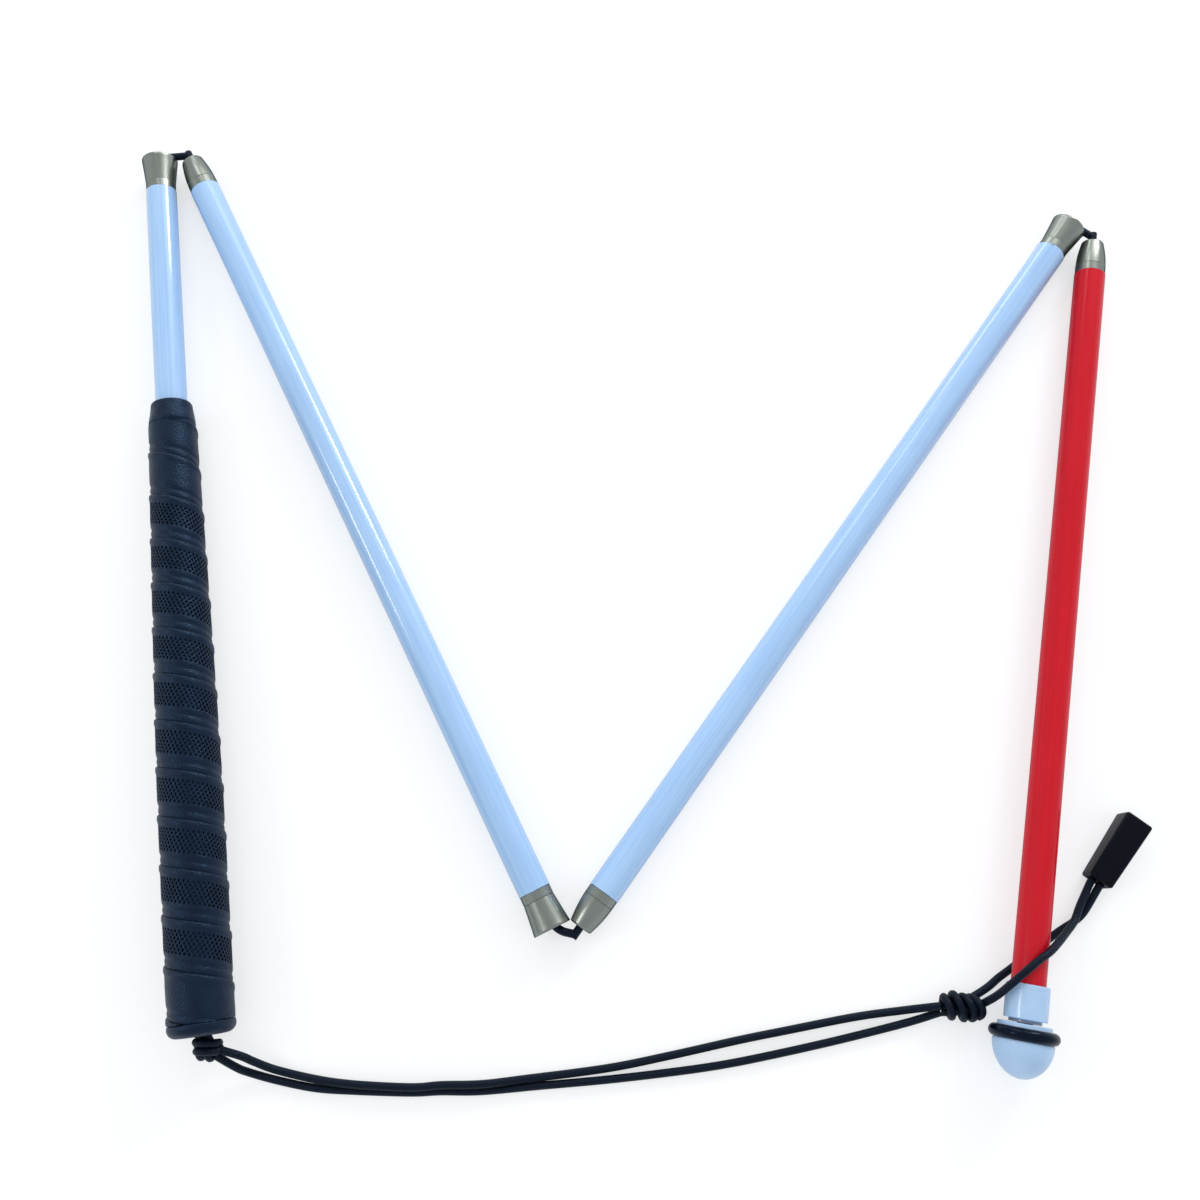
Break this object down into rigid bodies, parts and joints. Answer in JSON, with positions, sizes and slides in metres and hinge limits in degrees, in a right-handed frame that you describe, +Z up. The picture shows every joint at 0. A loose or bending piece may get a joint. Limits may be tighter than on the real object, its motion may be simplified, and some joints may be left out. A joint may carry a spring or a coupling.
{
  "type": "folding identification cane",
  "caption": "Slim folding cane laid half open: wrapped grip, tapered joints on an inner elastic, red lower section, rolling tip, and a wrist lanyard with toggle.",
  "frame": {"origin": "on the floor under the middle of the cane's own box as it lies half open, lanyard left out", "axes": "+X across the zigzag from the handle to the lower section, +Y towards the two upper joints, +Z up from the floor"},
  "size_m": [0.4182, 0.3905, 0.0266],
  "materials": {
    "white_sheath": "gloss",
    "red_sheath": "gloss",
    "ferrule_metal": "satin",
    "tube_metal": "satin",
    "grip_rubber": "satin",
    "grip_foam": "matte",
    "elastic_cord": "matte",
    "anchor_plastic": "matte",
    "tip_plastic": "satin",
    "ring_rubber": "gloss",
    "bearing_steel": "satin",
    "toggle_plastic": "satin"
  },
  "bodies": {
    "handle": {"handle_socket": "ferrule_metal", "handle_tube": "tube_metal", "handle_sheath": "white_sheath", "grip_collar": "grip_rubber", "grip_core": "grip_foam", "grip_wrap": "grip_rubber", "butt_cap": "grip_rubber", "handle_elastic": "elastic_cord", "handle_anchor": "anchor_plastic", "lanyard_root": "elastic_cord", "grip_knot": "elastic_cord", "lanyard_strand_upper": "elastic_cord", "lanyard_strand_lower": "elastic_cord"},
    "link_1": {"elastic_link_1": "elastic_cord"},
    "stub_1": {"elastic_stub_1": "elastic_cord"},
    "section_2": {"section_2_cone": "ferrule_metal", "section_2_tube": "tube_metal", "section_2_sheath": "white_sheath", "section_2_socket": "ferrule_metal", "section_2_elastic": "elastic_cord"},
    "link_2": {"elastic_link_2": "elastic_cord"},
    "stub_2": {"elastic_stub_2": "elastic_cord"},
    "section_3": {"section_3_cone": "ferrule_metal", "section_3_tube": "tube_metal", "section_3_sheath": "white_sheath", "section_3_socket": "ferrule_metal", "section_3_elastic": "elastic_cord"},
    "link_3": {"elastic_link_3": "elastic_cord"},
    "stub_3": {"elastic_stub_3": "elastic_cord"},
    "section_4": {"section_4_cone": "ferrule_metal", "section_4_tube": "tube_metal", "section_4_sheath": "red_sheath", "section_4_elastic": "elastic_cord", "tip_anchor": "anchor_plastic", "tip_sleeve": "tip_plastic", "tip_axle": "bearing_steel", "bearing_inner_race": "bearing_steel", "axle_nut": "bearing_steel", "loop_knot": "elastic_cord", "lanyard_loop_front": "elastic_cord", "lanyard_loop_back": "elastic_cord", "toggle": "toggle_plastic"},
    "tip": {"bearing_outer_race": "bearing_steel", "ball_set": "bearing_steel", "tip_head": "tip_plastic", "tip_ring": "ring_rubber"}
  },
  "joints": [
    {"name": "fold_1", "type": "hinge", "parent": "handle", "child": "stub_1", "pos_m": [-0.196, 0.19025, 0.0075], "axis": [0, 0, 1], "range_deg": [-15, 161.25], "deforming": ["lanyard_strand_upper", "lanyard_strand_lower", "elastic_link_1"]},
    {"name": "lean_1", "type": "hinge", "parent": "handle", "child": "link_1", "pos_m": [-0.20216, 0.19017, 0.0075], "axis": [0, 0, 1], "range_deg": [-9.04, 96.72]},
    {"name": "pull_1", "type": "slide", "parent": "stub_1", "child": "section_2", "axis": [0.441, -0.8975, 0], "range_m": [0, 0.025], "stiffness_N_per_m": 80, "springref_m": -0.1},
    {"name": "fold_2", "type": "hinge", "parent": "section_2", "child": "stub_2", "pos_m": [-0.02304, -0.14119, 0.0075], "axis": [0, 0, 1], "range_deg": [-118.08, 3], "deforming": ["lanyard_strand_upper", "lanyard_strand_lower", "elastic_link_2"]},
    {"name": "lean_2", "type": "hinge", "parent": "section_2", "child": "link_2", "pos_m": [-0.02618, -0.14146, 0.0075], "axis": [0, 0, 1], "range_deg": [-68.73, 1.79]},
    {"name": "pull_2", "type": "slide", "parent": "stub_2", "child": "section_3", "axis": [0.5842, 0.8116, 0], "range_m": [0, 0.025], "stiffness_N_per_m": 80, "springref_m": -0.1},
    {"name": "fold_3", "type": "hinge", "parent": "section_3", "child": "stub_3", "pos_m": [0.2007, 0.15574, 0.0075], "axis": [0, 0, 1], "range_deg": [-13, 154.5], "deforming": ["lanyard_strand_upper", "lanyard_strand_lower", "elastic_link_3"]},
    {"name": "lean_3", "type": "hinge", "parent": "section_3", "child": "link_3", "pos_m": [0.19681, 0.15917, 0.0075], "axis": [0, 0, 1], "range_deg": [-8.09, 95.65]},
    {"name": "pull_3", "type": "slide", "parent": "stub_3", "child": "section_4", "axis": [-0.1779, -0.9839, 0.0157], "range_m": [0, 0.025], "stiffness_N_per_m": 80, "springref_m": -0.1},
    {"name": "tip_roll", "type": "hinge", "parent": "section_4", "child": "tip", "pos_m": [0.1459, -0.17638, 0.01275], "axis": [-0.1779, -0.9839, 0.0157], "continuous": true}
  ],
  "couplings": [
    {"joint": "lean_1", "follows": "fold_1", "ratio": 0.5995},
    {"joint": "lean_2", "follows": "fold_2", "ratio": 0.58164},
    {"joint": "lean_3", "follows": "fold_3", "ratio": 0.61877}
  ]
}
